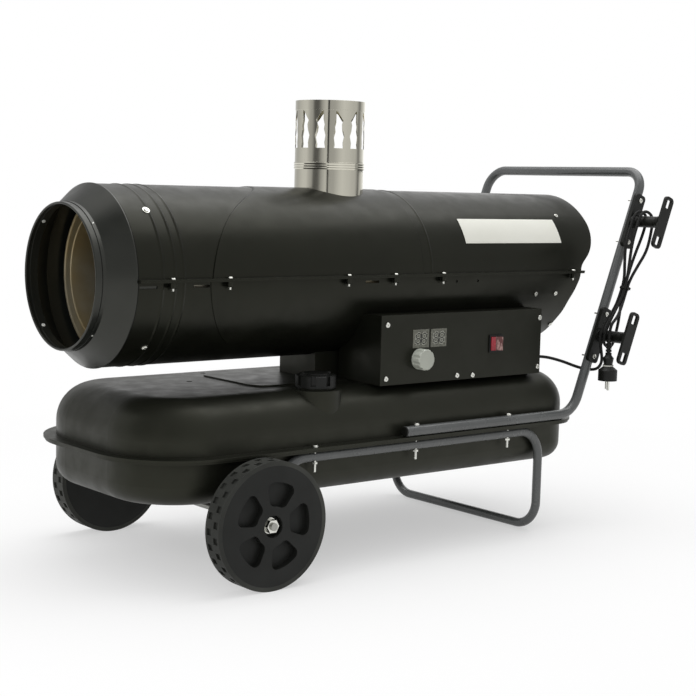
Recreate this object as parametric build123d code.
from build123d import *
import math
import os

# Wheeled air heater with an external flue. X runs along the barrel, outlet at -X and push handle at +X.
# The near side, with the control box and the cord hooks, is -Y. Lengths are millimetres.
# The origin is under the middle of the outline, on the floor.

# Placing
mid_y = 11.5           # the heater's own mid-plane stands this far to +Y, because the hooks stick out to -Y
sheet = 1.5            # gauge of every pressed sheet
touch_gap = 0.05       # between faces that lie against each other
slip_gap = 0.1         # radial play of a rivet, spigot or screw in its hole
run_gap = 0.08         # radial play of a turning part on its shaft
show_gap = 0.3         # visible play beside a moving part
far = 900.0            # longer than anything that is cut

# Barrel
barrel_radius = 142.0
barrel_clearance = 38.0        # between the tank's top and the barrel
barrel_front_x = -507.0
front_shell_end_x = -190.0
rear_shell_start_x = 30.0
ledge_width = 9.7
ledge_thick = 2.5
front_bead_xs = [-463.5, -442.0, -426.0]
rear_bead_x = 76.0
bead_width = 6.0
bead_height = 1.0

# Side views of the intake end as (x, rise above the barrel's axis), the upper sheet first
rear_edge = [(455.0, 0.0), (459.4, 15.0), (469.6, 25.0), (481.0, 37.0), (493.6, 60.0), (499.0, 80.0),
             (500.0, 100.0)]
lower_edge = [(454.0, 0.0), (452.0, -14.0), (448.0, -24.0), (442.7, -37.0), (434.5, -56.0), (430.5, -76.0),
              (427.0, -88.0), (425.0, -100.0)]

# Middle cover, a third sheet over the gap between the two end sheets
cover_rear_x = 54.5
cover_edge = [(-375.0, -20.0), (-375.0, 0.0), (-371.0, 24.0), (-362.0, 48.0), (-344.0, 75.0), (-319.0, 98.0),
              (-290.0, 115.0), (-252.0, 130.0), (-214.0, 142.5), (-176.0, 155.0)]
cover_arc_x = -260.0
cover_arc_radius = 115.0
cover_bead_width = 7.0
cover_bead_height = 1.2
cover_bead_drop = 104.0

# Slots and sight holes below the seam, on both sides
seam_slots = [(-488.5, 31.0), (-394.5, 29.0), (-56.5, 29.0)]
slot_height = 4.0
slot_drop = 9.0
seam_dots = [136.0, 187.0]
dot_radius = 2.2
dot_drop = 12.0

# Outlet cone and collar
cone_length = 36.0             # ahead of the barrel
cone_lip_width = 2.0
cone_lip_rise = 1.2
cone_skirt_length = 52.0       # inside the barrel
neck_length = 6.0
collar_length = 17.0           # ahead of the cone
collar_radius = 113.5
collar_tail_radius = 112.9
collar_tail_length = 5.0       # inside the cone
lip_radius = 2.0
collar_screw_lead = 3.0        # ahead of the cone
cone_screw_setback = 40.0      # behind the barrel's front
cone_screw_reach = 9.0
outlet_screw_angles = [47.0, 133.0, -47.0, -133.0]

# Screws
screw_radius = 1.9
screw_head_radius = 4.2
screw_head_height = 2.4
washer_radius = 6.0
washer_thick = 0.8
screw_reach = 14.0
small_screw_radius = 1.5
small_head_radius = 3.0
small_head_height = 1.6
round_head_radius = 4.5
round_head_height = 2.2
small_screw_reach = 7.0
rivet_tail = 0.6
socket_radius = 1.5
socket_depth = 1.0
screw_sides = 8
seam_screw_xs = [-450.0, -347.0, -112.0, -11.0, 98.0, 426.0]
seam_screw_reach = 5.85        # from the barrel to the screw's axis
seam_screw_length = 15.0
rear_screws = [(426.0, 46.0), (340.0, -16.0), (392.0, -16.0), (420.0, -45.0)]
rear_screw_reach = 6.0

# Flue
flue_x = -42.0
flue_radius = 59.4
flue_ring_radius = 60.0
flue_ring_height = 16.0
flue_sheet = 1.2
flue_top_height = 107.0
flue_stub_height = 42.0        # above the barrel
flue_dip = 17.0                # below the drum's crown
flue_sleeve_wall = 0.7
flue_ridge_count = 3
flue_ridge_drop = 9.0          # below the joint
flue_ridge_pitch = 4.0
flue_ridge_height = 0.8
flame_count = 12
flame_turn = 6.0
flame_lift = 27.0              # above the joint
flame_head = 17.0              # below the flue's top
flame_width = 16.5
flame_shares = [(-0.5, 0.0), (0.5, 0.0), (0.42, 0.14), (0.52, 0.33), (0.36, 0.5), (0.42, 0.62),
                (0.3, 0.76), (0.3, 1.0), (0.12, 0.97), (-0.3, 0.8), (-0.5, 0.74), (-0.34, 0.62),
                (-0.4, 0.5), (-0.62, 0.33), (-0.45, 0.14)]

# Heat exchanger drum and combustion chamber
drum_front_x = -480.0
drum_rear_x = 40.0
drum_gap = 9.5                 # between drum and barrel
drum_rim = 24.0
drum_bead_radius = 2.2
chamber_front_x = -474.0
chamber_rear_x = -130.0
chamber_radius = 62.0
chamber_dome_depth = 26.0
chamber_bead_radius = 2.0
duct_radius = 24.0
duct_x = -180.0
drum_foot_width = 30.0
drum_foot_xs = [-420.0, -20.0]

# Burner, motor and fan
burner_front_x = -132.0
burner_rear_x = 60.0
burner_radius = 58.0
burner_disc = 6.0
burner_hole_radius = 8.0
burner_hole_count = 8
burner_hole_ring = 40.0
nozzle_radius = 9.0
nozzle_front_x = -148.0
nozzle_rear_x = 64.0
nozzle_tip_radius = 4.0
nozzle_tip_length = 10.0
pump_front_x = 110.0
pump_rear_x = 168.0
pump_radius = 34.0
pump_port_radius = 6.0
pump_port_length = 12.0
motor_front_x = 172.0
motor_rear_x = 322.0
motor_radius = 52.0
motor_rib_count = 12
motor_rib_width = 4.0
motor_rib_height = 4.0
shaft_radius = 6.0
shaft_end_x = 392.0
bracket_x = 330.0
bracket_thick = 4.0
bracket_width = 26.0
bracket_angles = [-16.0, 196.0, 46.0, 134.0]
fan_x = 378.0
fan_depth = 22.0
fan_gap = 12.5                 # between the blades' path and the barrel
fan_hub_radius = 26.0
fan_blade_count = 6
fan_blade_width = 52.0
fan_blade_thick = 2.0
fan_blade_twist = 32.0
guard_x = 416.0
guard_bar = 2.5
guard_ring_shares = [0.2166, 0.3755, 0.5343, 0.6931, 0.852]
guard_gap = 2.0                # between guard and barrel
guard_spoke_count = 8
guard_band = 9.0

# Tank
tank_front_x = -512.0
tank_rear_x = 401.0
tank_half_width = 186.5
tank_front_corner = 120.0
tank_rear_corner = 62.0
tank_top_z = 286.0
tank_bottom_z = 125.0
tank_shoulder = 60.0
tank_bottom_round = 32.0
flange_low_z = 194.5
flange_split_z = 198.2
flange_high_z = 202.0
flange_reach = 20.5
flange_rear_reach = 11.5
flange_step = 2.5
pad_front_x = -248.0
pad_rear_x = -62.0
pad_half_width = 88.0
pad_height = 2.5
pad_corner = 26.0
boss_radius = 42.0
boss_low_z = 210.0
dimple_places = [(-304.0, 28.0), (-224.0, 108.0)]
dimple_radius = 5.0
dimple_depth = 0.9

# Filler and cap
filler_x = -170.0
filler_y = -140.0
neck_radius = 24.0
neck_wall = 3.0
neck_low_z = 274.0
neck_top_z = 302.0
neck_flange_radius = 29.0
neck_flange_thick = 2.0
cap_radius = 33.0
cap_low_z = 288.8
cap_high_z = 309.0
cap_bore = 26.0
cap_lobe_count = 8
cap_notch_width = 8.0
cap_notch_depth = 4.5
cap_notch_low_z = 293.0
cap_crown_radius = 21.0
cap_crown_height = 3.0
cap_rib_width = 5.0
cap_pin_radius = 7.0
seal_thick = 3.0
seal_stem_length = 3.0
seal_plate_radius = 25.0

# Pedestal between tank and barrel
pedestal_front_x = -102.0
pedestal_rear_x = 330.0
pedestal_half_width = 50.0

# Fuel filter and the tank's suction port
filter_x = 220.0
filter_radius = 17.0
filter_low_z = 290.0
filter_height = 26.0
port_radius = 3.5
port_x = 139.0
port_y = 46.0

# Control box and panel
box_left_x = -60.0
box_right_x = 320.0
box_top_z = 403.0
box_front_y = -172.0
box_back_y = -62.0
panel_thick = 2.0
panel_screws = [(-47.0, 387.0), (-48.0, 297.0), (315.0, 387.0), (314.0, 298.0), (114.0, 293.6),
                (151.0, 292.0)]
lug_half = 6.0
lug_wall_reach = 15.0          # a lug nearer to a wall than this grows into it
display_lefts = [10.0, 50.5]
display_width = 36.0
display_low_z = 346.0
display_height = 31.0
display_depth = 11.0
display_proud = 0.6
digit_sink = 0.6
digit_margin = 3.5
board_left_x = 0.0
board_right_x = 110.0
board_low_z = 300.0
board_high_z = 380.0
board_thick = 1.6
knob_x = 26.0
knob_z = 327.0
knob_radius = 18.0
knob_length = 19.0
knob_lobe_count = 10
knob_lobe_radius = 3.4
knob_socket_depth = 12.0
knob_skirt = 2.0
knob_shaft_radius = 3.0
knob_shaft_back = 10.0
pot_radius = 8.5
switch_x = 205.2
switch_z = 345.0
bezel_width = 32.5
bezel_height = 30.5
bezel_thick = 2.2
housing_width = 28.5
housing_height = 27.0
housing_depth = 22.0
rocker_half_width = 12.0
rocker_swing = 1.0
rocker_height = 24.0
rocker_end_rise = 6.2
rocker_mid_rise = 3.8
rocker_back = 6.0
rocker_back_half = 5.0
rocker_tilt = 12.0
rocker_pin_radius = 1.5
rocker_pin_length = 0.9

# Cord gland
gland_y = -140.0
gland_z = 312.0
gland_radius = 8.5
gland_flange_radius = 10.5
gland_flange_thick = 3.0
gland_tip_radius = 4.4
gland_length = 20.0
gland_tail = 8.0

# Lower frame
rail_radius = 8.0
rail_wall = 1.5
rail_y = 195.0
rail_z = 186.5
rail_front_x = -250.0
rail_front_bend = 45.0
rail_rear_x = 300.0
rail_rear_bend = 48.0
rail_joint_z = 130.0
lug_radius = 15.0
lug_width = 12.0
foot_bend = 48.0
spigot_length = 8.0

# Push handle
handle_radius = 9.0
handle_wall = 1.5
handle_y = 201.0
handle_front_x = -27.0
handle_z = 211.0
handle_corner_x = 380.4
handle_lean = 21.157
handle_top_z = 654.6
handle_low_bend = 50.0
handle_top_bend = 38.0

# Frame bolts
bolt_y = 198.0
bolt_radius = 2.4
bolt_head_radius = 5.6
bolt_head_height = 3.6
rail_bolt_xs = [0.0, 217.0]
front_bolt_x = -214.0
nut_across = 8.0
nut_height = 3.2
bolt_tail = 13.0

# Axle and wheels
axle_x = -334.0
axle_z = 100.0
axle_radius = 6.0
axle_half_length = 257.5
wheel_radius = 100.0
wheel_outer_y = 254.7
wheel_width = 35.3
tread_thick = 7.0
tread_count = 26
tread_block = 10.0
tread_depth = 3.6
tread_rows = [9.5, 25.8]
rim_pocket_count = 5
rim_pocket_inner = 31.0
rim_pocket_outer = 68.0
rim_pocket_half_angle = 25.0
rim_pocket_start = 5.0
rim_pocket_depth = 12.0
rim_pocket_corner = 10.0
hub_recess_radius = 17.0
hub_recess_depth = 12.0
axle_washer_radius = 12.5
axle_washer_thick = 2.0
axle_nut_across = 19.0
axle_nut_height = 9.0
spacer_radius = 10.0

# Cord hooks on the near leg
hook_zs = [562.75, 353.3]
hook_base_length = 104.0
hook_base_width = 26.0
hook_base_depth = 11.5
hook_base_wrap = 5.0
hook_arm_radius = 10.5
hook_collar_radius = 12.8
hook_collar_length = 5.0
hook_flare_length = 9.0
hook_flare_radius = 13.5
hook_bar_y = -275.5
hook_bar_thick = 5.0
hook_bar_length = 98.0
hook_bar_width = 24.0
hook_slot_length = 17.0
hook_slot_width = 11.5
hook_slot_inset = 13.5
hook_screw_offset = 41.0
hook_screw_tail = 8.0

# Mains cord, a free tube from the gland to the plug
cord_radius = 2.75
cord_start_x = 321.0
tie_height = 246.5
tie_half = 3.2
tie_y = -236.0
tie_width = 4.5
tie_wall = 1.3
tie_head = 6.0
plug_x = 417.0
plug_y = -250.0
plug_cord_z = 350.0
plug_sleeve_z = 321.0
plug_wing_z = 316.0
plug_ring_z = 304.0
plug_neck_z = 300.5
plug_body_z = 295.5
plug_face_z = 275.0
plug_sleeve_radius = 4.6
plug_sleeve_low_radius = 5.8
plug_wing_radius = 10.0
plug_neck_radius = 7.8
plug_ring_radius = 9.4
plug_body_radius = 17.2
plug_groove_count = 4
plug_groove_depth = 1.0
plug_groove_width = 2.0
plug_turn = 50.7
plug_pin_radius = 2.4
plug_pin_spread = 9.5
plug_pin_length = 17.0
plug_pin_root = 10.0

# Cord route. The first group is in the part's own x, y, z; the second lies along the leaning leg as
# distance in front of the leg's axis plane, y, and height along the leg.
cord_out = [(358.0, -140.0, 312.0), (392.0, -158.0, 303.0), (414.0, -178.0, 292.0)]
cord_wound = [
    (22.0, -193.0, 90.0), (22.5, -211.0, 95.0), (13.0, -223.5, 108.0), (-3.0, -227.0, 125.0),
    (-16.5, -226.0, 148.0), (-13.0, -227.0, 177.0), (-3.5, -230.0, 205.0),
    (-3.2, -232.8, 229.0), (-3.2, -232.9, 262.0), (-12.0, -230.0, 290.0), (-20.0, -227.0, 320.0),
    (-19.5, -224.5, 352.0), (-16.4, -224.0, 395.8), (16.4, -226.0, 395.8), (15.0, -228.5, 357.0),
    (7.0, -231.5, 322.0), (3.6, -232.4, 292.0), (3.2, -232.8, 262.0), (3.2, -232.9, 229.0),
    (10.5, -232.5, 204.0), (16.6, -232.0, 176.0), (16.6, -234.0, 133.4), (-16.6, -236.5, 133.4),
    (-17.0, -238.5, 170.0), (-9.5, -239.0, 202.0), (-3.2, -239.2, 229.0), (-3.2, -239.3, 262.0),
    (-10.5, -239.0, 293.0), (-17.0, -238.6, 324.0), (-18.6, -238.2, 352.0), (-16.4, -238.0, 395.8),
    (16.4, -239.5, 395.8), (22.5, -240.5, 360.0), (24.0, -241.0, 328.0), (13.0, -240.5, 296.0),
    (3.2, -239.2, 262.0), (3.2, -239.3, 229.0), (-5.0, -246.0, 203.0), (-12.0, -249.5, 186.0)]
cord_last_lift = 24.0
cord_sample_step = 1.0
cord_near_run = 12.0           # points of the cord closer than this along it count as neighbours

# Derived
inner_radius = barrel_radius - sheet
barrel_z = tank_top_z + barrel_clearance + barrel_radius
ledge_reach = barrel_radius + ledge_width
seam_screw_y = barrel_radius + seam_screw_reach
cone_front_x = barrel_front_x - cone_length
cone_skirt_end_x = barrel_front_x + cone_skirt_length
cone_screw_x = barrel_front_x + cone_screw_setback
collar_front_x = cone_front_x - collar_length
collar_tail_x = cone_front_x + collar_tail_length
collar_screw_x = cone_front_x - collar_screw_lead
drum_radius = inner_radius - drum_gap
drum_bore = drum_radius - drum_rim
fan_radius = inner_radius - fan_gap
guard_outer_radius = inner_radius - guard_gap
guard_ring_radii = [share * guard_outer_radius for share in guard_ring_shares]
flue_low_z = barrel_z + drum_radius - flue_dip
flue_joint_z = barrel_z + barrel_radius + flue_stub_height
flue_ridge_low_z = flue_joint_z - flue_ridge_drop
flue_top_z = flue_joint_z + flue_top_height
flue_ring_low_z = flue_top_z - flue_ring_height
flame_low_z = flue_joint_z + flame_lift
flame_height = flue_top_height - flame_lift - flame_head
cover_inner = barrel_radius + touch_gap
cover_outer = cover_inner + sheet
lean = math.radians(handle_lean)
handle_top_x = handle_corner_x + (handle_top_z - handle_z) * math.tan(lean)
panel_back_y = box_front_y + panel_thick
cord_bend_share = 0.45


def block(x0, x1, y0, y1, z0, z1):
    """Box between two corners."""
    size = Box(x1 - x0, y1 - y0, z1 - z0)
    return Pos((x0 + x1) / 2, (y0 + y1) / 2, (z0 + z1) / 2) * size


def bar_x(x0, x1, radius, y=0, z=barrel_z):
    """Round bar along X."""
    return Pos(x0, y, z) * Rot(0, 90, 0) * extrude(Circle(radius), amount=x1 - x0)


def ring_x(x0, x1, outer, inner):
    """Tube along the barrel's axis."""
    return bar_x(x0, x1, outer) - bar_x(x0, x1, inner)


def bar_y(y0, y1, radius, x, z):
    """Round bar along Y."""
    return Pos(x, y0, z) * Rot(-90, 0, 0) * extrude(Circle(radius), amount=y1 - y0)


def bar_z(z0, z1, radius, x, y):
    """Round bar along Z."""
    return Pos(x, y, z0) * extrude(Circle(radius), amount=z1 - z0)


def spun_x(points):
    """Turn a profile of (x, radius) points about the barrel's axis."""
    face = make_face(Polyline(*[(x, r) for x, r in points], close=True))
    return Pos(0, 0, barrel_z) * revolve(face, Axis.X)


def spun_z(points, x, y):
    """Turn a profile of (radius, z) points about a vertical axis."""
    face = Plane.XZ * make_face(Polyline(*points, close=True))
    return Pos(x, y, 0) * revolve(face, Axis.Z)


def upper_half():
    return block(-far, far, -far, far, barrel_z + touch_gap, far + barrel_z)


def lower_half():
    return block(-far, far, -far, far, -far, barrel_z)


def at_wall(x, angle, radius):
    """Place on the barrel, local Z pointing out. The angle rises from the near seam."""
    turn = math.radians(angle)
    place = Pos(x, -radius * math.cos(turn), barrel_z + radius * math.sin(turn))
    return place * Rot(90 - angle, 0, 0)


def on_leg(height):
    """Place on the near leg, local Z along it and local Y along Y."""
    base = Pos(handle_corner_x, -handle_y, handle_z) * Rot(0, handle_lean, 0)
    return base * Pos(0, 0, height)


def leg_height(z):
    return (z - handle_z) / math.cos(lean)


def gather(shapes):
    solids = []
    for shape in shapes:
        solids.extend(shape.solids())
    return Compound(solids)


def screw(radius, head_radius, head_height, length):
    """Pan head screw, head on +Z, the underside of the head at zero."""
    head = extrude(Circle(head_radius), amount=head_height)
    edge = head.edges().sort_by(Axis.Z)[-1]
    head = chamfer(edge, head_height / 3)
    top = head_height - socket_depth
    head -= Pos(0, 0, top) * extrude(RegularPolygon(socket_radius, 4), amount=head_height)
    shank = extrude(RegularPolygon(radius, screw_sides), amount=-length)
    return head + shank


def hole(radius, depth):
    """Drill along local Z, through and out on both sides."""
    return Pos(0, 0, -depth) * extrude(Circle(radius), amount=2 * depth)


def tube(points, radii, radius, bore=0):
    """Bent tube along straight runs joined by arcs."""
    path = FilletPolyline(*points, radius=radii)
    start = Plane(origin=path @ 0, z_dir=path % 0)
    solid = sweep(start * Circle(radius), path=path)
    if bore:
        solid -= sweep(start * Circle(bore), path=path)
    return solid


# Barrel sheets

def side_view(edge, rest):
    """Prism that keeps what lies behind a curved edge and straight sides, both as (x, rise)."""
    points = [(x, barrel_z + rise) for x, rise in edge]
    corners = [(x, barrel_z + rise) for x, rise in rest]
    outline = Spline(*points) + Polyline(points[-1], *corners, points[0])
    return extrude(Plane.XZ * make_face(outline), amount=far, both=True)


def bead(x):
    """Rolled ridge round the barrel with a sharp crest."""
    foot = barrel_radius - sheet / 2
    half = bead_width / 2
    return spun_x([(x - half, foot), (x - half, barrel_radius), (x, barrel_radius + bead_height),
                   (x + half, barrel_radius), (x + half, foot)])


def ledges(x0, x1, z0, z1, root):
    """The two seam flanges of one sheet."""
    near = block(x0, x1, -ledge_reach, -root, z0, z1)
    far_side = block(x0, x1, root, ledge_reach, z0, z1)
    return near + far_side


def seam_holes(shape, x0, x1):
    """Drill the seam screws' holes that fall between x0 and x1."""
    for x in seam_screw_xs:
        if x0 < x < x1:
            for side in (-1, 1):
                cut = bar_z(barrel_z - far, barrel_z + far, screw_radius + slip_gap, x, side * seam_screw_y)
                shape -= cut
    return shape


def wall_holes(shape, places, radius):
    """Drill radial holes at (x, angle) on the near side and mirrored on the far side."""
    for x, angle in places:
        for turn in (angle, 180 - angle):
            shape -= at_wall(x, turn, barrel_radius) * hole(radius + slip_gap, screw_reach)
    return shape


def flat_seats(shape, places):
    """Press the beads flat under the heads of the outlet's screws."""
    for x, angle in places:
        for turn in (angle, 180 - angle):
            seat = extrude(Circle(washer_radius + slip_gap), amount=screw_head_height)
            shape -= at_wall(x, turn, barrel_radius) * seat
    return shape


def cone_screw_places():
    return [(cone_screw_x, angle) for angle in outlet_screw_angles if abs(angle) < 90]


def collar_screw_places():
    return [(collar_screw_x, angle) for angle in outlet_screw_angles if abs(angle) < 90]


def barrel_lower_shell():
    end = lower_edge[0][0]
    shell = ring_x(barrel_front_x, end, barrel_radius, inner_radius) & lower_half()
    shell += gather([bead(x) & lower_half() for x in front_bead_xs])
    deep = -2 * barrel_radius
    shell &= side_view(lower_edge, [(lower_edge[-1][0], deep), (barrel_front_x, deep), (barrel_front_x, 0)])
    top = barrel_z
    shell += ledges(barrel_front_x, end, top - ledge_thick, top, inner_radius)
    band = bar_y(-ledge_reach, ledge_reach, cover_arc_radius + cover_bead_width / 2, cover_arc_x, barrel_z)
    band -= bar_y(-ledge_reach, ledge_reach, cover_arc_radius - cover_bead_width / 2, cover_arc_x, barrel_z)
    outer = barrel_radius + cover_bead_height
    skin = ring_x(barrel_front_x, cover_arc_x, outer, inner_radius)
    low = barrel_z - cover_bead_drop
    shell += band & skin & block(-far, cover_arc_x, -far, far, low, top - ledge_thick)
    for x, width in seam_slots:
        z = barrel_z - slot_drop
        shell -= block(x - width / 2, x + width / 2, -far, far, z - slot_height / 2, z + slot_height / 2)
    for x in seam_dots:
        shell -= bar_y(-far, far, dot_radius, x, barrel_z - dot_drop)
    shell = seam_holes(shell, barrel_front_x, end)
    shell = wall_holes(shell, [p for p in rear_screws if p[1] < 0], screw_radius)
    shell = flat_seats(shell, [p for p in cone_screw_places() if p[1] < 0])
    return wall_holes(shell, [p for p in cone_screw_places() if p[1] < 0], screw_radius)


def barrel_front_shell():
    shell = ring_x(barrel_front_x, front_shell_end_x, barrel_radius, inner_radius) & upper_half()
    shell += gather([bead(x) & upper_half() for x in front_bead_xs])
    low = barrel_z + touch_gap
    start = cover_edge[0][0] - touch_gap
    shell += ledges(barrel_front_x, start, low, low + ledge_thick, inner_radius)
    shell = seam_holes(shell, barrel_front_x, start)
    shell = flat_seats(shell, [p for p in cone_screw_places() if p[1] > 0])
    return wall_holes(shell, [p for p in cone_screw_places() if p[1] > 0], screw_radius)


def barrel_middle_cover():
    start = cover_edge[0][0]
    shell = ring_x(start - bead_width, cover_rear_x, cover_outer, cover_inner) & upper_half()
    shell &= side_view(cover_edge, [(cover_rear_x, cover_edge[-1][1]), (cover_rear_x, cover_edge[0][1])])
    low = barrel_z + touch_gap
    shell += ledges(start, cover_rear_x, low, low + ledge_thick, cover_inner)
    shell -= bar_z(barrel_z, far + barrel_z, flue_radius + slip_gap, flue_x, 0)
    return seam_holes(shell, start, cover_rear_x)


def barrel_rear_shell():
    end = rear_edge[-1][0]
    high = 2 * barrel_radius
    shell = ring_x(rear_shell_start_x, end, barrel_radius, inner_radius) & upper_half()
    shell &= side_view(rear_edge, [(end, high), (rear_shell_start_x, high), (rear_shell_start_x, 0)])
    shell += bead(rear_bead_x) & upper_half()
    low = barrel_z + touch_gap
    start = cover_rear_x + touch_gap
    tip = rear_edge[0][0] - touch_gap
    shell += ledges(start, tip, low, low + ledge_thick, inner_radius)
    shell = seam_holes(shell, start, tip)
    return wall_holes(shell, [p for p in rear_screws if p[1] > 0], screw_radius)


def outlet_cone():
    neck_inner = collar_tail_radius + touch_gap
    neck_outer = neck_inner + sheet
    skirt_outer = inner_radius - slip_gap
    skirt_inner = skirt_outer - sheet
    lip_x = barrel_front_x - touch_gap
    profile = [(cone_front_x - neck_length, neck_outer), (cone_front_x - neck_length, neck_inner),
               (cone_front_x, neck_inner), (lip_x, skirt_inner), (cone_skirt_end_x, skirt_inner),
               (cone_skirt_end_x, skirt_outer), (lip_x, skirt_outer), (lip_x, barrel_radius + cone_lip_rise),
               (lip_x - cone_lip_width, barrel_radius + cone_lip_rise), (cone_front_x, neck_outer)]
    shape = spun_x(profile)
    shape = wall_holes(shape, cone_screw_places(), screw_radius)
    for x, angle in collar_screw_places():
        for turn in (angle, 180 - angle):
            shape -= at_wall(x, turn, neck_outer) * hole(small_screw_radius + slip_gap, screw_reach)
    return shape


def outlet_collar():
    """Rolled lip, plain wall for a duct, and a tail swaged down to sit inside the cone's neck."""
    step_x = cone_front_x - neck_length - show_gap
    wall = ring_x(collar_front_x + lip_radius, step_x, collar_radius, collar_radius - sheet)
    wall += ring_x(step_x - sheet, collar_tail_x, collar_tail_radius, collar_tail_radius - sheet)
    ring = Pos(collar_front_x + lip_radius, 0, barrel_z) * Rot(0, 90, 0)
    wall += ring * Torus(collar_radius - lip_radius, lip_radius)
    for x, angle in collar_screw_places():
        for turn in (angle, 180 - angle):
            wall -= at_wall(x, turn, collar_radius) * hole(small_screw_radius + slip_gap, screw_reach)
    return wall


def seam_screws():
    made = []
    for x in seam_screw_xs:
        for side in (-1, 1):
            top = barrel_z + ledge_thick + 2 * touch_gap
            one = screw(screw_radius, screw_head_radius, screw_head_height, seam_screw_length + ledge_thick)
            made.append(Pos(x, side * seam_screw_y, top) * one)
    return gather(made)


def wall_screws(places, radius, kind, reach):
    made = []
    for x, angle in places:
        for turn in (angle, 180 - angle):
            made.append(at_wall(x, turn, radius + touch_gap) * kind(reach))
    return made


def large_screw(reach):
    return screw(screw_radius, screw_head_radius, screw_head_height, reach)


def washer_screw(reach):
    """Screw with a washer pressed on under its head."""
    return large_screw(reach) + extrude(Circle(washer_radius), amount=washer_thick)


def small_screw(reach):
    return screw(small_screw_radius, small_head_radius, small_head_height, reach)


def round_screw(reach):
    return screw(small_screw_radius, round_head_radius, round_head_height, reach)


def cone_screws():
    return gather(wall_screws(cone_screw_places(), barrel_radius, washer_screw, cone_screw_reach))


def shell_screws():
    return gather(wall_screws(rear_screws, barrel_radius, large_screw, rear_screw_reach))


def collar_screws():
    """Set from inside the collar, with their heads in the air stream."""
    seat = collar_tail_radius - sheet - touch_gap
    reach = 2 * sheet + 2 * touch_gap + rivet_tail
    made = []
    for x, angle in collar_screw_places():
        for turn in (angle, 180 - angle):
            made.append(at_wall(x, turn, seat) * Rot(180, 0, 0) * small_screw(reach))
    return gather(made)


# Flue

def flue_stub():
    high = flue_joint_z - touch_gap
    tube_wall = bar_z(flue_low_z, high, flue_radius, flue_x, 0)
    tube_wall -= bar_z(flue_low_z, high, flue_radius - flue_sheet, flue_x, 0)
    return tube_wall


def flame_cutter(index):
    """One cut-out, wavy like a flame, pushed out through the wall."""
    lean_side = -1 if index % 2 else 1
    points = [(lean_side * u * flame_width, v * flame_height) for u, v in flame_shares]
    face = Plane.XZ * make_face(Polyline(*points, close=True))
    cutter = extrude(face, amount=2 * flue_radius)
    turn = flame_turn + 360 / flame_count * index
    return Pos(flue_x, 0, flame_low_z) * Rot(0, 0, turn) * cutter


def flue_top():
    """Ridged sleeve over the stub, a wall with wavy cut-outs and a plain ring for the chimney pipe."""
    socket = flue_radius + slip_gap
    sleeve = socket + flue_sleeve_wall
    bore = flue_radius - flue_sheet
    profile = [(socket, flue_ridge_low_z), (sleeve, flue_ridge_low_z)]
    for index in range(flue_ridge_count):
        low = flue_ridge_low_z + flue_ridge_pitch * index
        profile.append((sleeve + flue_ridge_height, low + flue_ridge_pitch / 2))
        profile.append((sleeve, low + flue_ridge_pitch))
    profile += [(flue_radius, profile[-1][1]), (flue_radius, flue_ring_low_z),
                (flue_ring_radius, flue_ring_low_z), (flue_ring_radius, flue_top_z), (bore, flue_top_z),
                (bore, flue_joint_z), (socket, flue_joint_z)]
    shape = spun_z(profile, flue_x, 0)
    for index in range(flame_count):
        shape -= flame_cutter(index)
    return shape


# Heat exchanger and burner

def heat_exchanger():
    inner = drum_bore
    wall = ring_x(drum_front_x, drum_rear_x, drum_radius, drum_radius - sheet)
    wall += ring_x(drum_front_x, drum_rear_x, inner + sheet, inner)
    wall += ring_x(drum_front_x, drum_front_x + sheet, drum_radius, inner)
    wall += ring_x(drum_rear_x - sheet, drum_rear_x, drum_radius, inner)
    ring = Pos(drum_front_x, 0, barrel_z) * Rot(0, 90, 0)
    wall += ring * Torus(inner + drum_bead_radius, drum_bead_radius)
    wall += ring * Torus(drum_radius - drum_bead_radius, drum_bead_radius)
    wall -= bar_z(barrel_z + inner + 2 * sheet, barrel_z + far, flue_radius + slip_gap, flue_x, 0)
    wall -= bar_z(barrel_z, barrel_z + inner + 2 * sheet, duct_radius + slip_gap, duct_x, 0)
    return wall


def drum_feet():
    """Two stands that carry the drum in the lower sheet."""
    made = []
    for x in drum_foot_xs:
        foot = block(x, x + drum_foot_width, -drum_foot_width, drum_foot_width, 0, barrel_z)
        foot &= ring_x(x, x + drum_foot_width, inner_radius - touch_gap, drum_radius + touch_gap)
        made.append(foot)
    return gather(made)


def combustion_chamber():
    front = chamber_front_x + chamber_dome_depth
    wall = ring_x(front, chamber_rear_x, chamber_radius, chamber_radius - sheet)
    depth = chamber_dome_depth
    ball_radius = (chamber_radius ** 2 + depth ** 2) / (2 * depth)
    ball = Sphere(ball_radius) - Sphere(ball_radius - sheet)
    ball = Pos(chamber_front_x + ball_radius, 0, barrel_z) * ball
    wall += ball & bar_x(chamber_front_x - sheet, front, chamber_radius)
    ring = Pos(front, 0, barrel_z) * Rot(0, 90, 0)
    wall += ring * Torus(chamber_radius, chamber_bead_radius)
    duct_top = barrel_z + drum_bore + sheet
    duct = bar_z(barrel_z, duct_top, duct_radius, duct_x, 0)
    bore = bar_z(barrel_z, duct_top, duct_radius - sheet, duct_x, 0)
    wall += duct - bar_x(front, chamber_rear_x, chamber_radius - sheet)
    return wall - bore


def burner_head():
    wall = ring_x(burner_front_x, burner_rear_x, burner_radius, burner_radius - sheet)
    disc = bar_x(burner_front_x, burner_front_x + burner_disc, burner_radius)
    disc -= bar_x(burner_front_x - burner_disc, burner_front_x + far, nozzle_radius + slip_gap)
    for index in range(burner_hole_count):
        turn = math.radians(360 / burner_hole_count * index)
        y = burner_hole_ring * math.cos(turn)
        z = barrel_z + burner_hole_ring * math.sin(turn)
        disc -= bar_x(burner_front_x - burner_disc, burner_front_x + far, burner_hole_radius, y, z)
    return wall + disc


def fuel_nozzle():
    lance = bar_x(nozzle_front_x, nozzle_rear_x, nozzle_radius)
    return lance + bar_x(nozzle_front_x - nozzle_tip_length, nozzle_front_x, nozzle_tip_radius)


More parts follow.
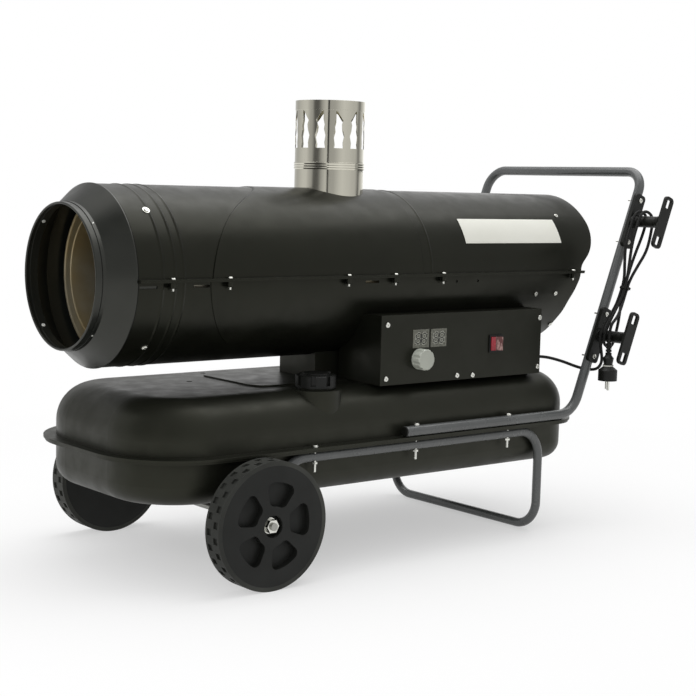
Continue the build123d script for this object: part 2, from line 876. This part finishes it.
def fuel_pump():
    body = bar_x(pump_front_x, pump_rear_x, pump_radius)
    low = barrel_z - pump_radius - pump_port_length
    body += bar_z(low, barrel_z, pump_port_radius, (pump_front_x + pump_rear_x) / 2, 0)
    body += bar_x(nozzle_rear_x + touch_gap, pump_front_x, pump_port_radius)
    return body


def motor():
    body = bar_x(motor_front_x, motor_rear_x, motor_radius)
    for index in range(motor_rib_count):
        turn = 360 / motor_rib_count * index
        length = motor_rear_x - motor_front_x
        rib = Box(length - motor_rib_height, motor_rib_width, motor_rib_height + sheet)
        place = Pos((motor_front_x + motor_rear_x) / 2, 0, barrel_z) * Rot(turn, 0, 0)
        body += place * Pos(0, 0, motor_radius + (motor_rib_height - sheet) / 2) * rib
    body += bar_x(motor_rear_x, shaft_end_x, shaft_radius)
    return body + bar_x(pump_rear_x + touch_gap, motor_front_x, shaft_radius)


def motor_bracket():
    """Plate behind the motor with four arms, each bent along the barrel's wall."""
    plate = bar_x(bracket_x, bracket_x + bracket_thick, motor_radius)
    reach = inner_radius - touch_gap
    for angle in bracket_angles:
        arm = Box(bracket_thick, bracket_width, reach)
        place = Pos(bracket_x + bracket_thick / 2, 0, barrel_z) * Rot(90 - angle, 0, 0)
        plate += place * Pos(0, 0, reach / 2) * arm
    plate &= bar_x(bracket_x, bracket_x + bracket_thick, reach)
    plate -= bar_x(bracket_x - far, bracket_x + far, shaft_radius + slip_gap)
    return wall_holes(plate, [p for p in rear_screws if p[1] < 0], screw_radius)


def fan():
    hub = bar_x(fan_x, fan_x + fan_depth, fan_hub_radius)
    reach = fan_radius - fan_hub_radius
    for index in range(fan_blade_count):
        turn = 360 / fan_blade_count * index
        blade = Box(fan_blade_thick, fan_blade_width, reach + fan_hub_radius / 2)
        blade = Rot(0, 0, fan_blade_twist) * blade
        middle = fan_hub_radius + reach / 2 - fan_hub_radius / 4
        place = Pos(fan_x + fan_depth / 2, 0, barrel_z) * Rot(turn, 0, 0)
        hub += place * Pos(0, 0, middle) * blade
    hub &= bar_x(fan_x - fan_blade_width, fan_x + fan_blade_width, fan_radius)
    return hub - bar_x(fan_x - far, shaft_end_x + show_gap, shaft_radius + run_gap)


def fan_guard():
    shape = ring_x(guard_x, guard_x + guard_band, guard_outer_radius, guard_outer_radius - guard_bar)
    for radius in guard_ring_radii:
        shape += ring_x(guard_x, guard_x + guard_bar, radius, radius - guard_bar)
    for index in range(guard_spoke_count):
        turn = 360 / guard_spoke_count * index
        length = guard_outer_radius - guard_ring_radii[0]
        spoke = Box(guard_bar, guard_bar, length)
        place = Pos(guard_x + guard_bar * 3 / 2, 0, barrel_z) * Rot(turn, 0, 0)
        shape += place * Pos(0, 0, guard_outer_radius - guard_bar / 2 - length / 2) * spoke
    shape = wall_holes(shape, [(rear_screws[0][0], rear_screws[0][1])], screw_radius)
    return wall_holes(shape, [(rear_screws[3][0], rear_screws[3][1])], screw_radius)


# Tank

def tank_plan(grow, rear_grow):
    """Plan of the tank, wide round corners in front, grown outwards, and by its own length at the rear."""
    length = tank_rear_x - tank_front_x + grow + rear_grow
    plan = Rectangle(length, 2 * (tank_half_width + grow))
    ends = plan.vertices().group_by(Axis.X)
    plan = fillet(ends[0], tank_front_corner + grow)
    back = plan.vertices().group_by(Axis.X)[-1]
    plan = fillet(back, tank_rear_corner + rear_grow)
    return Pos((tank_front_x - grow + tank_rear_x + rear_grow) / 2, 0) * plan


def tank_upper_body(inset, low_z):
    body = Pos(0, 0, low_z) * extrude(tank_plan(-inset, -inset), amount=tank_top_z - inset - low_z)
    rim = body.faces().sort_by(Axis.Z)[-1].edges()
    return fillet(rim, tank_shoulder - inset)


def tank_lower_body(inset, high_z):
    low = tank_bottom_z + inset
    body = Pos(0, 0, low) * extrude(tank_plan(-inset, -inset), amount=high_z - low)
    rim = body.faces().sort_by(Axis.Z)[0].edges()
    return fillet(rim, tank_bottom_round - inset)


def bolt_places():
    return [(x, side * bolt_y) for x in rail_bolt_xs + [front_bolt_x] for side in (-1, 1)]


def bolt_holes(shape):
    for x, y in bolt_places():
        shape -= bar_z(0, far, bolt_radius + slip_gap, x, y)
    return shape


def top_pad():
    length = pad_rear_x - pad_front_x
    plan = Rectangle(length, 2 * pad_half_width)
    plan = fillet(plan.vertices().group_by(Axis.X)[0], pad_corner)
    place = Pos((pad_front_x + pad_rear_x) / 2, 0, tank_top_z - sheet)
    return place * extrude(plan, amount=pad_height + sheet)


def tank_upper_shell():
    low = flange_split_z + touch_gap
    body = tank_upper_body(0, low)
    boss = bar_z(boss_low_z, tank_top_z, boss_radius, filler_x, filler_y)
    body += boss
    hollow = tank_upper_body(sheet, low)
    hollow += bar_z(boss_low_z, tank_top_z - sheet, boss_radius - sheet, filler_x, filler_y)
    rim = tank_plan(flange_reach, flange_rear_reach)
    flange = Pos(0, 0, low) * extrude(rim, amount=flange_high_z - low)
    body = body + flange + top_pad() - hollow
    body -= bar_z(tank_top_z - 2 * sheet, far, neck_radius + slip_gap, filler_x, filler_y)
    body -= bar_z(tank_top_z - 2 * sheet, far, port_radius + slip_gap, port_x, port_y)
    for x, y in dimple_places:
        body -= bar_z(tank_top_z - dimple_depth, far, dimple_radius, x, y)
    return bolt_holes(body)


def tank_lower_shell():
    high = flange_split_z
    body = tank_lower_body(0, high)
    rim = tank_plan(flange_reach - flange_step, flange_rear_reach - flange_step)
    flange = Pos(0, 0, flange_low_z) * extrude(rim, amount=high - flange_low_z)
    body = body + flange - tank_lower_body(sheet, high)
    return bolt_holes(body)


def filler_neck():
    bore = neck_radius - neck_wall
    neck = bar_z(neck_low_z, neck_top_z, neck_radius, filler_x, filler_y)
    low = tank_top_z + touch_gap
    neck += bar_z(low, low + neck_flange_thick, neck_flange_radius, filler_x, filler_y)
    return neck - bar_z(neck_low_z, neck_top_z, bore, filler_x, filler_y)


def cap_seal():
    low = neck_top_z + touch_gap
    seal = bar_z(low, low + seal_thick, seal_plate_radius, filler_x, filler_y)
    return seal + bar_z(low, low + seal_thick + seal_stem_length, cap_pin_radius, filler_x, filler_y)


def fuel_cap():
    inner_top = neck_top_z + seal_thick + 2 * touch_gap
    cap = bar_z(cap_low_z, cap_high_z, cap_radius, filler_x, filler_y)
    cap = chamfer(cap.edges().sort_by(Axis.Z)[-1], sheet)
    cap -= bar_z(cap_low_z, inner_top + touch_gap, cap_bore, filler_x, filler_y)
    for index in range(cap_lobe_count):
        turn = 360 / cap_lobe_count * index
        notch = block(cap_radius - cap_notch_depth, far, -cap_notch_width / 2, cap_notch_width / 2,
                      cap_notch_low_z, far)
        cap -= Pos(filler_x, filler_y, 0) * Rot(0, 0, turn) * notch
    crown = bar_z(cap_high_z, cap_high_z + cap_crown_height, cap_crown_radius, filler_x, filler_y)
    rib = Pos(filler_x, filler_y, cap_high_z + cap_crown_height / 2)
    rib *= Box(2 * (cap_radius - cap_notch_depth), cap_rib_width, cap_crown_height)
    cap += crown + rib
    stem_top = inner_top + seal_stem_length
    return cap - bar_z(inner_top, stem_top + show_gap, cap_pin_radius + run_gap, filler_x, filler_y)


# Pedestal and filter

def pedestal():
    outer = block(pedestal_front_x, pedestal_rear_x, -pedestal_half_width, pedestal_half_width,
                  tank_top_z + touch_gap, barrel_z)
    inner = block(pedestal_front_x + sheet, pedestal_rear_x - sheet, -pedestal_half_width + sheet,
                  pedestal_half_width - sheet, 0, barrel_z)
    lip = Pos(0, 0, touch_gap) * top_pad()
    return outer - inner - bar_x(-far, far, barrel_radius + touch_gap) - lip


def fuel_filter():
    body = bar_z(filter_low_z, filter_low_z + filter_height, filter_radius, filter_x, 0)
    low = tank_top_z + touch_gap
    return body + bar_z(low, filter_low_z, filter_radius / 2, filter_x, 0)


# Control box

def control_box():
    low = tank_top_z + touch_gap
    front = panel_back_y + touch_gap
    outer = block(box_left_x, box_right_x, front, box_back_y, low, box_top_z)
    outer -= bar_x(-far, far, barrel_radius + touch_gap)
    inner = block(box_left_x + sheet, box_right_x - sheet, front - sheet, box_back_y - sheet,
                  low + sheet, box_top_z - sheet)
    inner -= bar_x(-far, far, barrel_radius + touch_gap + sheet)
    outer -= inner
    for x, z in panel_screws:
        left = box_left_x if x - lug_wall_reach < box_left_x else x - lug_half
        right = box_right_x if x + lug_wall_reach > box_right_x else x + lug_half
        bottom = low if z - lug_wall_reach < low else z - lug_half
        outer += block(left, right, front, front + small_screw_reach, bottom, z + lug_half)
        outer -= bar_y(-far, far, small_screw_radius + slip_gap, x, z) & block(
            -far, far, front - sheet, front + small_screw_reach, 0, far)
    return outer - bar_x(box_right_x - 2 * sheet, far, gland_radius + slip_gap, gland_y, gland_z)


def panel_holes(shape):
    for x, z in panel_screws:
        shape -= bar_y(-far, far, small_screw_radius + slip_gap, x, z)
    return shape


def control_panel():
    low = tank_top_z + touch_gap
    plate = block(box_left_x, box_right_x, box_front_y, panel_back_y, low, box_top_z)
    plate = panel_holes(plate)
    for left in display_lefts:
        plate -= block(left - slip_gap, left + display_width + slip_gap, -far, far,
                       display_low_z - slip_gap, display_low_z + display_height + slip_gap)
    plate -= bar_y(-far, far, knob_shaft_radius + 2 * slip_gap, knob_x, knob_z)
    half_w = housing_width / 2 + slip_gap
    half_h = housing_height / 2 + slip_gap
    plate -= block(switch_x - half_w, switch_x + half_w, -far, far, switch_z - half_h, switch_z + half_h)
    return plate


def panel_screw_set():
    made = []
    for x, z in panel_screws:
        place = Pos(x, box_front_y - touch_gap, z) * Rot(90, 0, 0)
        made.append(place * round_screw(small_screw_reach))
    return gather(made)


def display(left):
    """Two-digit display behind its window, digits sunk a little."""
    front = box_front_y - display_proud
    body = block(left, left + display_width, front, front + display_depth,
                 display_low_z, display_low_z + display_height)
    right = left + display_width - digit_margin
    high = display_low_z + display_height - digit_margin
    window = block(left + digit_margin, right, front - sheet, front + digit_sink,
                   display_low_z + digit_margin, high)
    return body - window


def control_board():
    front = box_front_y - display_proud + display_depth + touch_gap
    board = block(board_left_x, board_right_x, front, front + board_thick, board_low_z, board_high_z)
    pot = bar_y(panel_back_y + touch_gap, front + board_thick, pot_radius, knob_x, knob_z)
    board += pot
    return board - bar_y(-far, far, knob_shaft_radius + run_gap, knob_x, knob_z)


def thermostat_knob():
    back = box_front_y - show_gap
    front = back - knob_length
    knob = bar_y(front, back, knob_radius, knob_x, knob_z)
    knob = chamfer(knob.edges().sort_by(Axis.Y)[0], sheet)
    for index in range(knob_lobe_count):
        turn = math.radians(180 / knob_lobe_count * (2 * index + 1))
        reach = knob_radius + knob_lobe_radius / 2
        x = knob_x + reach * math.cos(turn)
        z = knob_z + reach * math.sin(turn)
        knob -= bar_y(front - sheet, back - knob_skirt, knob_lobe_radius, x, z)
    socket = bar_y(back - knob_socket_depth, back + sheet, knob_shaft_radius + touch_gap, knob_x, knob_z)
    return knob - socket


def knob_shaft():
    back = box_front_y - show_gap
    low = back - knob_socket_depth + touch_gap
    return bar_y(low, panel_back_y + knob_shaft_back, knob_shaft_radius, knob_x, knob_z)


def switch_housing():
    front = box_front_y - bezel_thick
    bezel = block(switch_x - bezel_width / 2, switch_x + bezel_width / 2, front, box_front_y - touch_gap,
                  switch_z - bezel_height / 2, switch_z + bezel_height / 2)
    body = block(switch_x - housing_width / 2, switch_x + housing_width / 2, box_front_y - touch_gap,
                 box_front_y + housing_depth, switch_z - housing_height / 2, switch_z + housing_height / 2)
    half_w = rocker_half_width + rocker_swing
    half_h = rocker_height / 2 + show_gap / 2
    well = block(switch_x - half_w, switch_x + half_w, front - sheet, box_front_y + housing_depth - sheet,
                 switch_z - half_h, switch_z + half_h)
    reach = rocker_height / 2 + rocker_pin_length + show_gap
    pin = bar_z(switch_z - reach, switch_z + reach, rocker_pin_radius + run_gap, switch_x, box_front_y)
    return bezel + body - well - pin


def switch_rocker():
    """Rocker pressed on its left side; it turns about the upright pin line at the panel's face."""
    wide = rocker_half_width
    points = [(-wide, 0), (-wide, -rocker_end_rise), (0, -rocker_mid_rise), (wide, -rocker_end_rise),
              (wide, 0), (rocker_back_half, rocker_back), (-rocker_back_half, rocker_back)]
    side = make_face(Polyline(*points, close=True))
    body = Pos(0, 0, -rocker_height / 2) * extrude(side, amount=rocker_height)
    reach = rocker_height / 2 + rocker_pin_length
    body += bar_z(-reach, reach, rocker_pin_radius, 0, 0)
    return Pos(switch_x, box_front_y, switch_z) * Rot(0, 0, -rocker_tilt) * body


def cord_gland():
    """Tapered sleeve in the box's side wall, behind a flange."""
    start = box_right_x - sheet - gland_tail
    low = box_right_x + touch_gap
    high = low + gland_flange_thick
    tip = box_right_x + gland_length
    bore = cord_radius + touch_gap
    profile = [(start, bore), (start, gland_radius), (low, gland_radius), (low, gland_flange_radius),
               (high, gland_flange_radius), (high, gland_radius), (tip, gland_tip_radius), (tip, bore)]
    face = make_face(Polyline(*profile, close=True))
    return Pos(0, gland_y, gland_z) * revolve(face, Axis.X)


# Lower frame

def lower_rail(side):
    y = side * rail_y
    points = [(axle_x, y, axle_z), (rail_front_x, y, rail_z), (rail_rear_x, y, rail_z),
              (rail_rear_x, y, rail_joint_z)]
    rail = tube(points, [rail_front_bend, rail_rear_bend], rail_radius, rail_radius - rail_wall)
    eye = bar_y(y - lug_width / 2, y + lug_width / 2, lug_radius, axle_x, axle_z)
    rail += eye
    rail -= bar_y(-far, far, axle_radius + touch_gap, axle_x, axle_z)
    return bolt_holes(rail)


def foot_tube():
    top = rail_joint_z - touch_gap
    low = rail_radius
    x = rail_rear_x
    points = [(x, -rail_y, top), (x, -rail_y, low), (x, rail_y, low), (x, rail_y, top)]
    foot = tube(points, foot_bend, rail_radius)
    for side in (-1, 1):
        spigot = rail_radius - rail_wall - slip_gap
        foot += bar_z(top - rail_wall, top + spigot_length, spigot, x, side * rail_y)
    return foot


def handle_tube():
    points = []
    for side in (-1, 1):
        leg = [(handle_front_x, side * handle_y, handle_z), (handle_corner_x, side * handle_y, handle_z),
               (handle_top_x, side * handle_y, handle_top_z)]
        points += leg if side < 0 else leg[::-1]
    radii = [handle_low_bend, handle_top_bend, handle_top_bend, handle_low_bend]
    shape = tube(points, radii, handle_radius, handle_radius - handle_wall)
    for z in hook_zs:
        for offset in (-hook_screw_offset, hook_screw_offset):
            place = on_leg(leg_height(z) + offset)
            shape -= place * bar_y(-far, handle_y / 2, small_screw_radius + slip_gap, 0, 0)
    return bolt_holes(shape)


def frame_bolts():
    made = []
    for x, y in bolt_places():
        seat = flange_high_z if x == front_bolt_x else handle_z + handle_radius
        seat += touch_gap
        head = bar_z(seat, seat + bolt_head_height, bolt_head_radius, x, y)
        head = fillet(head.edges().sort_by(Axis.Z)[-1], bolt_head_height / 2)
        low = rail_z - rail_radius - nut_height - bolt_tail
        shank = Pos(x, y, low) * extrude(RegularPolygon(bolt_radius, screw_sides), amount=seat - low)
        made.append(head + shank)
    return gather(made)


def hex_nut(across, height, bore):
    nut = extrude(RegularPolygon(across / 2, 6, major_radius=False), amount=height)
    return nut - hole(bore, height)


def frame_nuts():
    made = []
    for x, y in bolt_places():
        top = rail_z - rail_radius - touch_gap
        made.append(Pos(x, y, top - nut_height) * hex_nut(nut_across, nut_height, bolt_radius + touch_gap))
    return gather(made)


# Axle and wheels

def axle():
    return bar_y(-axle_half_length, axle_half_length, axle_radius, axle_x, axle_z)


def axle_spacers():
    made = []
    inner = rail_y + rail_radius + touch_gap
    outer = wheel_outer_y - wheel_width - show_gap
    for y0, y1 in ((inner, outer), (-outer, -inner)):
        sleeve = bar_y(y0, y1, spacer_radius, axle_x, axle_z)
        made.append(sleeve - bar_y(y0, y1, axle_radius + touch_gap, axle_x, axle_z))
    return gather(made)


def axle_nuts():
    made = []
    floor = wheel_outer_y - hub_recess_depth + show_gap
    for side in (-1, 1):
        place = Pos(axle_x, side * floor, axle_z) * Rot(-90 * side, 0, 0)
        washer = extrude(Circle(axle_washer_radius), amount=axle_washer_thick)
        nut = Pos(0, 0, axle_washer_thick) * hex_nut(axle_nut_across, axle_nut_height, axle_radius)
        both = washer + nut - hole(axle_radius + touch_gap, far)
        made.append(place * both)
    return gather(made)


def wheel_place(side):
    """Local Z runs out along the axle, zero at the wheel's inner face."""
    return Pos(axle_x, side * (wheel_outer_y - wheel_width), axle_z) * Rot(-90 * side, 0, 0)


def pocket(index):
    """Sector recess with rounded corners in the wheel's outer face."""
    half = math.radians(rim_pocket_half_angle)
    ends = []
    for radius, turn in ((rim_pocket_inner, -half), (rim_pocket_outer, -half),
                         (rim_pocket_outer, half), (rim_pocket_inner, half)):
        ends.append((radius * math.cos(turn), radius * math.sin(turn)))
    low = ThreePointArc(ends[0], (rim_pocket_inner, 0), ends[3])
    high = ThreePointArc(ends[1], (rim_pocket_outer, 0), ends[2])
    face = make_face(low + Line(ends[3], ends[2]) + high + Line(ends[1], ends[0]))
    face = fillet(face.vertices(), rim_pocket_corner)
    turn = rim_pocket_start + 360 / rim_pocket_count * index
    depth = wheel_width - rim_pocket_depth
    return Rot(0, 0, turn) * Pos(0, 0, depth) * extrude(face, amount=wheel_width)


def wheel_rim(side):
    rim_radius = wheel_radius - tread_thick
    rim = extrude(Circle(rim_radius), amount=wheel_width)
    for index in range(rim_pocket_count):
        rim -= pocket(index)
    recess = extrude(Circle(hub_recess_radius), amount=wheel_width)
    rim -= Pos(0, 0, wheel_width - hub_recess_depth) * recess
    rim -= hole(axle_radius + run_gap, wheel_width)
    return wheel_place(side) * rim


def wheel_tyre(side):
    inner = wheel_radius - tread_thick + touch_gap
    tyre = extrude(Circle(wheel_radius) - Circle(inner), amount=wheel_width)
    pitch = 360 / tread_count
    for row, height in enumerate(tread_rows):
        for index in range(tread_count):
            turn = pitch * (index + row / 2)
            notch = Pos(wheel_radius, 0, height) * Box(2 * tread_depth, tread_block, tread_block)
            tyre -= Rot(0, 0, turn) * notch
    return wheel_place(side) * tyre


# Cord hooks

def cord_hook(z):
    """Saddle on the leg, round arm and slotted cross bar, in the leg's own direction."""
    depth = hook_base_depth
    wrap = handle_radius - hook_base_wrap
    half = hook_base_length / 2
    base = block(-hook_base_width / 2, hook_base_width / 2, -depth, -wrap, -half, half)
    base = fillet(base.edges().filter_by(Axis.Y), hook_base_width / 4)
    base -= bar_z(-hook_base_length, hook_base_length, handle_radius + touch_gap, 0, 0)
    for offset in (-hook_screw_offset, hook_screw_offset):
        base -= bar_y(-2 * depth, 2 * depth, small_screw_radius + slip_gap, 0, offset)
    out = hook_bar_y + handle_y
    base += bar_y(out, -depth + sheet, hook_arm_radius, 0, 0)
    base += bar_y(-depth - hook_collar_length, -depth + sheet, hook_collar_radius, 0, 0)
    flare = Cone(hook_flare_radius, hook_arm_radius, hook_flare_length)
    base += Pos(0, out + hook_flare_length / 2, 0) * Rot(-90, 0, 0) * flare
    half = hook_bar_length / 2
    side_x = hook_bar_width / 2
    cross = block(-side_x, side_x, out - hook_bar_thick, out + touch_gap, -half, half)
    cross = fillet(cross.edges().filter_by(Axis.Y), hook_bar_width / 3)
    across = hook_slot_width / 2
    for side in (-1, 1):
        middle = side * (half - hook_slot_inset)
        cross -= block(-across, across, out - 2 * hook_bar_thick, out + hook_bar_thick,
                       middle - hook_slot_length / 2, middle + hook_slot_length / 2)
    return on_leg(leg_height(z)) * (base + cross)


def hook_screws():
    made = []
    for z in hook_zs:
        for offset in (-hook_screw_offset, hook_screw_offset):
            seat = -hook_base_depth - touch_gap
            reach = hook_base_depth + handle_radius + hook_screw_tail
            one = Pos(0, seat, 0) * Rot(90, 0, 0) * round_screw(reach)
            made.append(on_leg(leg_height(z) + offset) * one)
    return gather(made)


# Cord and plug

def leg_point(across, y, height):
    """Point beside the leaning leg, in the part's own directions."""
    x = handle_corner_x + height * math.sin(lean) + across * math.cos(lean)
    z = handle_z + height * math.cos(lean) - across * math.sin(lean)
    return (x, y, z)


def cord_points():
    points = [(cord_start_x, gland_y, gland_z)] + list(cord_out)
    points += [leg_point(*place) for place in cord_wound]
    points.append((plug_x, plug_y, plug_cord_z + cord_last_lift))
    points.append((plug_x, plug_y, plug_cord_z))
    return points


def cord_radii(points):
    """Each arc is as large as its two runs allow."""
    radii = []
    for before, here, after in zip(points, points[1:], points[2:]):
        run_in = Vector(*here) - Vector(*before)
        run_out = Vector(*after) - Vector(*here)
        half = math.radians(run_in.get_angle(run_out) / 2)
        radii.append(cord_bend_share * min(run_in.length, run_out.length) / math.tan(half))
    return radii


def least_gap(path):
    """Smallest space between two places of the cord that aren't neighbours along it."""
    count = int(path.length / cord_sample_step)
    places = [path @ (index / count) for index in range(count + 1)]
    skip = int(cord_near_run / cord_sample_step)
    nearest = far
    for index, here in enumerate(places):
        for there in places[index + skip:]:
            reach = (here.X - there.X) ** 2 + (here.Y - there.Y) ** 2 + (here.Z - there.Z) ** 2
            nearest = min(nearest, reach)
    return math.sqrt(nearest) - 2 * cord_radius


def power_cord():
    points = cord_points()
    radii = cord_radii(points)
    path = FilletPolyline(*points, radius=radii)
    start = Plane(origin=path @ 0, z_dir=path % 0)
    cord = sweep(start * Circle(cord_radius), path=path)
    print("cord radii", [round(r, 1) for r in radii])
    section = math.pi * cord_radius ** 2
    share = cord.volume / section / path.length
    print("cord length", round(path.length, 1), "volume share", round(share, 4))
    print("cord's least gap to itself", round(least_gap(path), 2))
    return cord


def cable_tie():
    inner = tie_half + cord_radius + slip_gap
    outer = inner + tie_wall
    ring = RectangleRounded(2 * outer, 2 * outer, cord_radius + tie_wall)
    ring -= RectangleRounded(2 * inner, 2 * inner, cord_radius)
    band = extrude(ring, amount=tie_width)
    head_y = -outer - tie_head + tie_wall
    band += block(-tie_head / 2, tie_head / 2, head_y, -inner - touch_gap, 0, tie_width)
    place = on_leg(tie_height - tie_width / 2) * Pos(0, tie_y + handle_y, 0)
    return place * band


def pin_places():
    turn = math.radians(plug_turn)
    reach = (plug_pin_spread * math.cos(turn), plug_pin_spread * math.sin(turn))
    return [(plug_x + side * reach[0], plug_y + side * reach[1]) for side in (-1, 1)]


def plug_body():
    """Ribbed sleeve, finger wings, a ring and a round body."""
    top = plug_cord_z - touch_gap
    profile = [(0, top), (plug_sleeve_radius, top), (plug_sleeve_low_radius, plug_sleeve_z),
               (plug_wing_radius, plug_wing_z), (plug_neck_radius, plug_ring_z),
               (plug_ring_radius, plug_ring_z), (plug_ring_radius, plug_neck_z),
               (plug_body_radius - sheet, plug_body_z), (plug_body_radius, plug_body_z - sheet),
               (plug_body_radius, plug_face_z), (0, plug_face_z)]
    body = spun_z(profile, plug_x, plug_y)
    pitch = (plug_cord_z - plug_sleeve_z) / (plug_groove_count + 1)
    core = plug_sleeve_radius - plug_groove_depth
    for index in range(plug_groove_count):
        low = plug_sleeve_z + pitch * (index + 1) - plug_groove_width / 2
        groove = bar_z(low, low + plug_groove_width, plug_sleeve_low_radius, plug_x, plug_y)
        body -= groove - bar_z(low, low + plug_groove_width, core, plug_x, plug_y)
    for x, y in pin_places():
        body -= bar_z(plug_face_z - sheet, plug_face_z + plug_pin_root, plug_pin_radius + touch_gap, x, y)
    return body


def plug_pins():
    made = []
    for x, y in pin_places():
        high = plug_face_z + plug_pin_root - touch_gap
        pin = bar_z(plug_face_z - plug_pin_length, high, plug_pin_radius, x, y)
        made.append(chamfer(pin.edges().sort_by(Axis.Z)[0], plug_pin_radius / 3))
    return gather(made)


def save(shape, node):
    export_step(Pos(0, mid_y, 0) * shape, f"parts/{node}.step")


os.makedirs("parts", exist_ok=True)
save(tank_upper_shell(), "tank_upper_shell")
save(tank_lower_shell(), "tank_lower_shell")
save(filler_neck(), "filler_neck")
save(cap_seal(), "cap_seal")
save(fuel_cap(), "fuel_cap")
save(barrel_lower_shell(), "barrel_lower_shell")
save(barrel_front_shell(), "barrel_front_shell")
save(barrel_middle_cover(), "barrel_middle_cover")
save(barrel_rear_shell(), "barrel_rear_shell")
save(outlet_cone(), "outlet_cone")
save(outlet_collar(), "outlet_collar")
save(seam_screws(), "seam_screws")
save(cone_screws(), "cone_screws")
save(shell_screws(), "shell_screws")
save(collar_screws(), "collar_screws")
save(flue_stub(), "flue_stub")
save(flue_top(), "flue_top")
save(heat_exchanger(), "heat_exchanger")
save(drum_feet(), "drum_feet")
save(combustion_chamber(), "combustion_chamber")
save(burner_head(), "burner_head")
save(fuel_nozzle(), "fuel_nozzle")
save(fuel_pump(), "fuel_pump")
save(motor(), "motor")
save(motor_bracket(), "motor_bracket")
save(fan(), "fan")
save(fan_guard(), "fan_guard")
save(pedestal(), "pedestal")
save(fuel_filter(), "fuel_filter")
save(control_box(), "control_box")
save(control_panel(), "control_panel")
save(panel_screw_set(), "panel_screws")
save(display(display_lefts[0]), "display_left")
save(display(display_lefts[1]), "display_right")
save(control_board(), "control_board")
save(thermostat_knob(), "thermostat_knob")
save(knob_shaft(), "knob_shaft")
save(switch_housing(), "switch_housing")
save(switch_rocker(), "switch_rocker")
save(cord_gland(), "cord_gland")
save(lower_rail(-1), "lower_rail_near")
save(lower_rail(1), "lower_rail_far")
save(foot_tube(), "foot_tube")
save(handle_tube(), "handle_tube")
save(frame_bolts(), "frame_bolts")
save(frame_nuts(), "frame_nuts")
save(axle(), "axle")
save(axle_spacers(), "axle_spacers")
save(axle_nuts(), "axle_nuts")
save(wheel_rim(-1), "wheel_rim_near")
save(wheel_rim(1), "wheel_rim_far")
save(wheel_tyre(-1), "wheel_tyre_near")
save(wheel_tyre(1), "wheel_tyre_far")
save(cord_hook(hook_zs[0]), "cord_hook_upper")
save(cord_hook(hook_zs[1]), "cord_hook_lower")
save(hook_screws(), "hook_screws")
save(power_cord(), "power_cord")
save(cable_tie(), "cable_tie")
save(plug_body(), "plug_body")
save(plug_pins(), "plug_pins")
